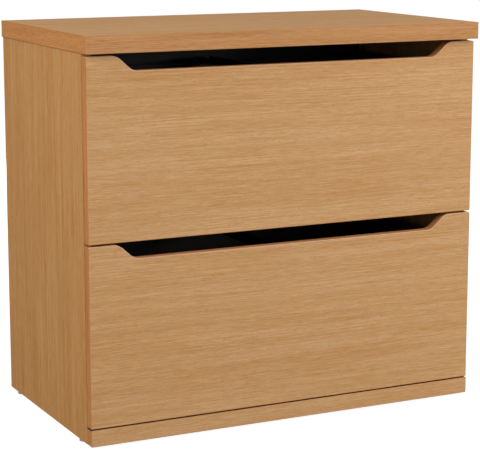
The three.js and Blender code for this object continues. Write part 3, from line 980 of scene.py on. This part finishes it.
def screw_tree():
    """Screw heads: crowned discs with a cross recess."""
    tree, given = open_tree("screw heads", ("Diameter", "Height", "Crown", "Recess"))
    return close_tree(tree, given, crossed(tree, given, crowned_disc(tree, given)))


def button_tree():
    """Buttons: plain crowned discs."""
    tree, given = open_tree("buttons", ("Diameter", "Height", "Crown"))
    return close_tree(tree, given, crowned_disc(tree, given))


def ball_tree():
    """Bearing balls."""
    tree, given = open_tree("bearing balls", ("Radius",))
    ball = add(tree, "GeometryNodeMeshIcoSphere", {"Radius": given["Radius"], "Subdivisions": BALL_CUTS})
    return close_tree(tree, given, ball.outputs["Mesh"])


def set_out(name, tree, spots, values, body):
    """One plain mesh of a tree's shape at every spot. A spot is its place and the way it faces."""
    points = bpy.data.meshes.new(name)
    points.from_pydata([place for place, _ in spots], [], [])
    facing = points.attributes.new(FACING, "FLOAT_VECTOR", "POINT")
    facing.data.foreach_set("vector", [value for _, direction in spots for value in direction])
    holder = new_object(f"{name}_spots", points)
    modifier = holder.modifiers.new("hardware", "NODES")
    modifier.node_group = tree
    for socket in tree.interface.items_tree:
        if socket.name in values:
            modifier[socket.identifier] = values[socket.name]
    mesh = bpy.data.meshes.new_from_object(holder.evaluated_get(bpy.context.evaluated_depsgraph_get()))
    holder.modifiers.remove(modifier)
    bpy.data.objects.remove(holder)
    mesh.attributes.remove(mesh.attributes[FACING])
    finish_mesh(name, mesh, [], body)


def head_sizes(diameter, height, crown, finish, **more):
    """The inputs of a tree of crowned heads."""
    return {"Diameter": diameter, "Height": height, "Crown": crown, "Finish": finish_for(finish), **more}


def outer_face(node, side):
    """Where a node's face on the given side stands in X."""
    low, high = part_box(node)
    return high.x if side > 0 else low.x


def ball_spots(level, race, row, depth, hardware):
    """The balls of one pair of cages: two rows in each, evenly spaced along it."""
    spots = []
    for hand, side in HANDS.items():
        low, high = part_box(f"{level}_{hand}_{race}_ball_cage")
        across = outer_face(f"{level}_{hand}_slide_outer", side) - side * depth
        middle = (low.z + high.z) / 2
        count = round((high.y - low.y - 2 * hardware.ball_margin) / hardware.ball_pitch) + 1
        for i in range(count):
            along = low.y + hardware.ball_margin + i * hardware.ball_pitch
            spots += [((across, along, middle + step), (0, 0, 1)) for step in (-row, row)]
    return spots


class CABINET_OT_balls(bpy.types.Operator):
    """Sets the steel balls in the cages of the slides"""

    bl_idname = "cabinet.balls"
    bl_label = "Bearing Balls"

    def execute(self, context):
        hardware = context.scene.cabinet_hardware
        tree = ball_tree()
        values = {"Radius": hardware.ball_radius, "Finish": finish_for(ball_steel)}
        races = {"outer": (hardware.outer_row, hardware.outer_depth),
                 "inner": (hardware.inner_row, hardware.inner_depth)}
        for level in LEVELS:
            for race, (row, depth) in races.items():
                spots = ball_spots(level, race, row, depth, hardware)
                set_out(f"{level}_{race}_balls", tree, spots, values, f"{level}_{race}_cages")
        return {"FINISHED"}


# Screws

SLIDE_SCREW_INSET = 28 * MM
BOX_SCREW_INSET = 6 * MM
BOX_SCREW_HEIGHTS = (30 * MM, 190 * MM, 245 * MM)
FRONT_SCREW_PLACES = (-280 * MM, -95 * MM, 95 * MM, 280 * MM)
FRONT_SCREW_HEIGHTS = (70 * MM, 200 * MM)
RAIL_SCREW_OFFSET = 351 * MM
FLUSH_SINK = 0.9 * MM
FLUSH_CROWN = 0.2 * MM
PAN_HEIGHT = 0.7 * MM
PAN_CROWN = 1.0 * MM


def member_screws(level, part, way, sink, hardware):
    """Three screws along the web of a member on each hand. They face outwards if way is 1, inwards if -1."""
    spots = []
    for hand, side in HANDS.items():
        node = f"{level}_{hand}_{part}"
        low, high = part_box(node)
        web = outer_face(node, -way * side) + way * side * (hardware.member_sheet - sink)
        rows = (low.y + SLIDE_SCREW_INSET, (low.y + high.y) / 2, high.y - SLIDE_SCREW_INSET)
        spots += [((web, row, (low.z + high.z) / 2), (way * side, 0, 0)) for row in rows]
    return spots


def box_corner_screws(level):
    """Sunk screws through the box sides into the ends of the box front and back."""
    spots = []
    for hand, side in HANDS.items():
        node = f"{level}_box_{hand}_side"
        low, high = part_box(node)
        face = outer_face(node, side) - side * FLUSH_SINK
        rows = (low.y + BOX_SCREW_INSET, high.y - BOX_SCREW_INSET)
        spots += [((face, row, low.z + height), (side, 0, 0)) for row in rows for height in BOX_SCREW_HEIGHTS]
    return spots


def front_screws(level):
    """Pan heads inside the box that hold the drawer front."""
    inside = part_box(f"{level}_box_front")[1].y
    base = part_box(f"{level}_box_left_side")[0].z
    return [((place, inside, base + height), (0, 1, 0))
            for place in FRONT_SCREW_PLACES for height in FRONT_SCREW_HEIGHTS]


def rail_screws(level, hardware):
    """Pan heads at both ends of each file rail."""
    spots = []
    for place, hand in {"centre": 0, **HANDS}.items():
        low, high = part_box(f"{level}_{place}_file_rail")
        rows = (low.y + BOX_SCREW_INSET, high.y - BOX_SCREW_INSET)
        spots += [((hand * RAIL_SCREW_OFFSET, row, low.z + hardware.rail_sheet), (0, 0, 1)) for row in rows]
    return spots


class CABINET_OT_screws(bpy.types.Operator):
    """Sets the screws of the slides, the drawer boxes and the file rails"""

    bl_idname = "cabinet.screws"
    bl_label = "Screws"

    def execute(self, context):
        hardware = context.scene.cabinet_hardware
        tree = screw_tree()
        cross = {"Recess": hardware.recess}
        flush = head_sizes(hardware.flush_head, FLUSH_SINK, FLUSH_CROWN, zinc_steel, **cross)
        pan = head_sizes(hardware.pan_head, PAN_HEIGHT, PAN_CROWN, zinc_steel, **cross)
        for level in LEVELS:
            drawer = f"{level}_drawer"
            pans = member_screws(level, "slide_inner", 1, 0, hardware)
            pans += front_screws(level) + rail_screws(level, hardware)
            sunk = member_screws(level, "slide_outer", -1, FLUSH_SINK, hardware)
            set_out(f"{level}_pan_screws", tree, pans, pan, drawer)
            set_out(f"{level}_box_screws", tree, box_corner_screws(level), flush, drawer)
            set_out(f"{level}_slide_screws", tree, sunk, flush, "carcass")
        return {"FINISHED"}


# Bumpers, covers and rivets

BUMPER_PLACE = 394 * MM
BUMPER_INSET = 25 * MM
BUMPER_HEIGHT = 1.2 * MM
BUMPER_CROWN = 0.7 * MM
COVER_INSET = 34 * MM
COVER_HEIGHTS = (90 * MM, 360 * MM, 640 * MM)
COVER_HEIGHT = 0.5 * MM
COVER_CROWN = 0.5 * MM
RIVET_INSET = 12 * MM
RIVET_HEIGHT = 0.4 * MM
RIVET_CROWN = 0.3 * MM


def bumper_spots(level):
    """At the four corners behind a drawer front, where it meets the side panels."""
    low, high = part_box(f"{level}_drawer_front")
    heights = (low.z + BUMPER_INSET, high.z - BUMPER_INSET)
    places = [side * BUMPER_PLACE for side in HANDS.values()]
    return [((place, high.y, height), (0, 1, 0)) for place in places for height in heights]


def cover_spots():
    """Up both edges of the back panel, over the fasteners that hold it to the sides."""
    low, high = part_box("back_panel")
    edges = (low.x + COVER_INSET, high.x - COVER_INSET)
    return [((edge, high.y, height), (0, 1, 0)) for edge in edges for height in COVER_HEIGHTS]


def rivet_spots(level):
    """Near the front end of each middle member, clear of the balls, on the face towards the side panel."""
    spots = []
    for hand, side in HANDS.items():
        node = f"{level}_{hand}_slide_middle"
        low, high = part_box(node)
        spots.append(((outer_face(node, side), low.y + RIVET_INSET, (low.z + high.z) / 2), (side, 0, 0)))
    return spots


class CABINET_OT_buttons(bpy.types.Operator):
    """Sets the bumpers behind the drawer fronts, the slides' stop rivets and the fastener covers"""

    bl_idname = "cabinet.buttons"
    bl_label = "Bumpers, Rivets and Covers"

    def execute(self, context):
        hardware = context.scene.cabinet_hardware
        tree = button_tree()
        bumper = head_sizes(hardware.bumper, BUMPER_HEIGHT, BUMPER_CROWN, soft_bumper)
        cover = head_sizes(hardware.cover, COVER_HEIGHT, COVER_CROWN, cover_plastic)
        rivet = head_sizes(hardware.rivet, RIVET_HEIGHT, RIVET_CROWN, zinc_steel)
        for level in LEVELS:
            set_out(f"{level}_bumpers", tree, bumper_spots(level), bumper, f"{level}_drawer")
            set_out(f"{level}_stop_rivets", tree, rivet_spots(level), rivet, f"{level}_slide_middles")
        set_out("fastener_covers", tree, cover_spots(), cover, "carcass")
        return {"FINISHED"}


# Stage

WHITE = (1, 1, 1, 1)
# Where each softbox stands and how wide it is, in metres.
SOFTBOXES = {
    "key": ((2.6, -2.6, 1.8), 2.0),
    "fill": ((-3.0, -1.2, 2.1), 1.6),
    "low": ((-2.7, -1.9, 1.2), 1.6),
    "back": ((1.0, 3.2, 0.4), 0.6),
}


def aim(direction):
    """A rotation that looks along a direction with the picture upright."""
    return Vector(direction).to_track_quat("-Z", "Y").to_euler()


def add_camera(stage):
    """The camera at the picture's own viewing angle."""
    data = bpy.data.cameras.new("picture camera")
    data.sensor_width = SENSOR_WIDTH
    data.lens = stage.focal_pixels / PICTURE_WIDTH * SENSOR_WIDTH
    data.shift_y = stage.shift
    camera = new_object("picture camera", data)
    camera.location = stage.camera_place
    yaw, pitch = stage.camera_yaw, stage.camera_pitch
    camera.rotation_euler = aim(
        (math.sin(yaw) * math.cos(pitch), math.cos(yaw) * math.cos(pitch), -math.sin(pitch)))
    bpy.context.scene.camera = camera


def add_softbox(name, place, target, size, power):
    """A large square light that faces a point."""
    data = bpy.data.lights.new(name, "AREA")
    data.shape = "SQUARE"
    data.size = size
    data.energy = power
    lamp = new_object(name, data)
    lamp.location = place
    lamp.rotation_euler = aim(Vector(target) - Vector(place))


def seen_rays(tree):
    """One for rays that show the set to the eye: straight, mirrored or through glass."""
    path = add(tree, "ShaderNodeLightPath").outputs
    mirrored = maths(tree, "MAXIMUM", path["Is Camera Ray"], path["Is Glossy Ray"])
    return maths(tree, "MAXIMUM", mirrored, path["Is Transmission Ray"])


def light_world(stage):
    """A white surround for the eye, and a lower even light on the object."""
    world = bpy.data.worlds.new("white studio")
    tree = blank_tree(world)
    dim = put(tree, "ShaderNodeBackground", {"Color": WHITE, "Strength": stage.ambient})
    white = put(tree, "ShaderNodeBackground", {"Color": WHITE, "Strength": 1.0})
    mix = put(tree, "ShaderNodeMixShader", {0: seen_rays(tree), 1: dim, 2: white})
    add(tree, "ShaderNodeOutputWorld", {"Surface": mix})
    bpy.context.scene.world = world


def floor_finish(colours, glow):
    """A pale matt floor that keeps the shadow and looks white to the eye."""
    finish = bpy.data.materials.new("white floor")
    tree = blank_tree(finish)
    matt = put(tree, "ShaderNodeBsdfDiffuse", {"Color": rgba(colours.floor)})
    seen = maths(tree, "MULTIPLY", seen_rays(tree), glow)
    lit = put(tree, "ShaderNodeEmission", {"Color": WHITE, "Strength": seen})
    both = put(tree, "ShaderNodeAddShader", {0: matt, 1: lit})
    add(tree, "ShaderNodeOutputMaterial", {"Surface": both})
    return finish


def add_floor(stage):
    """A wide flat floor under the object."""
    half = stage.floor_size / 2
    corners = [(-half, -half, 0), (half, -half, 0), (half, half, 0), (-half, half, 0)]
    mesh = bpy.data.meshes.new("floor")
    mesh.from_pydata(corners, [], [range(len(corners))])
    mesh.materials.append(finish_for(floor_finish, stage.floor_glow))
    new_object("floor", mesh)


class CABINET_OT_stage(bpy.types.Operator):
    """Sets the floor, the light and the camera"""

    bl_idname = "cabinet.stage"
    bl_label = "Stage"

    def execute(self, context):
        stage = context.scene.cabinet_stage
        context.scene.view_settings.view_transform = "Standard"
        add_floor(stage)
        middle = (0, 0, (CAD_BOX[0].z + CAD_BOX[1].z) / 2)
        for name, (place, size) in SOFTBOXES.items():
            add_softbox(name, place, middle, size, getattr(stage, f"{name}_power"))
        light_world(stage)
        add_camera(stage)
        return {"FINISHED"}


# Sidebar and registration

STEPS = (
    CABINET_OT_carcass,
    CABINET_OT_drawer_fronts,
    CABINET_OT_drawer_boxes,
    CABINET_OT_file_rails,
    CABINET_OT_slides,
    CABINET_OT_glides,
    CABINET_OT_balls,
    CABINET_OT_screws,
    CABINET_OT_buttons,
    CABINET_OT_stage,
)
SETTINGS = {
    "cabinet_boards": CabinetBoards,
    "cabinet_hardware": CabinetHardware,
    "cabinet_colours": CabinetColours,
    "cabinet_stage": CabinetStage,
}


class CABINET_PT_sidebar(bpy.types.Panel):
    """Lists the steps that build the cabinet"""

    bl_label = "Lateral Filing Cabinet"
    bl_idname = "CABINET_PT_sidebar"
    bl_space_type = "VIEW_3D"
    bl_region_type = "UI"
    bl_category = "Cabinet"

    def draw(self, context):
        for step in STEPS:
            self.layout.operator(step.bl_idname)


def register():
    """Adds the settings, the steps and the sidebar."""
    for group in SETTINGS.values():
        bpy.utils.register_class(group)
    for name, group in SETTINGS.items():
        setattr(bpy.types.Scene, name, bpy.props.PointerProperty(type=group))
    for step in STEPS:
        bpy.utils.register_class(step)
    bpy.utils.register_class(CABINET_PT_sidebar)


def unregister():
    """Takes the sidebar, the steps and the settings away."""
    bpy.utils.unregister_class(CABINET_PT_sidebar)
    for step in reversed(STEPS):
        bpy.utils.unregister_class(step)
    for name, group in SETTINGS.items():
        delattr(bpy.types.Scene, name)
        bpy.utils.unregister_class(group)


def main():
    """Builds every piece and the stage."""
    register()
    for step in STEPS:
        family, action = step.bl_idname.split(".")
        getattr(getattr(bpy.ops, family), action)()


if __name__ == "__main__":
    main()
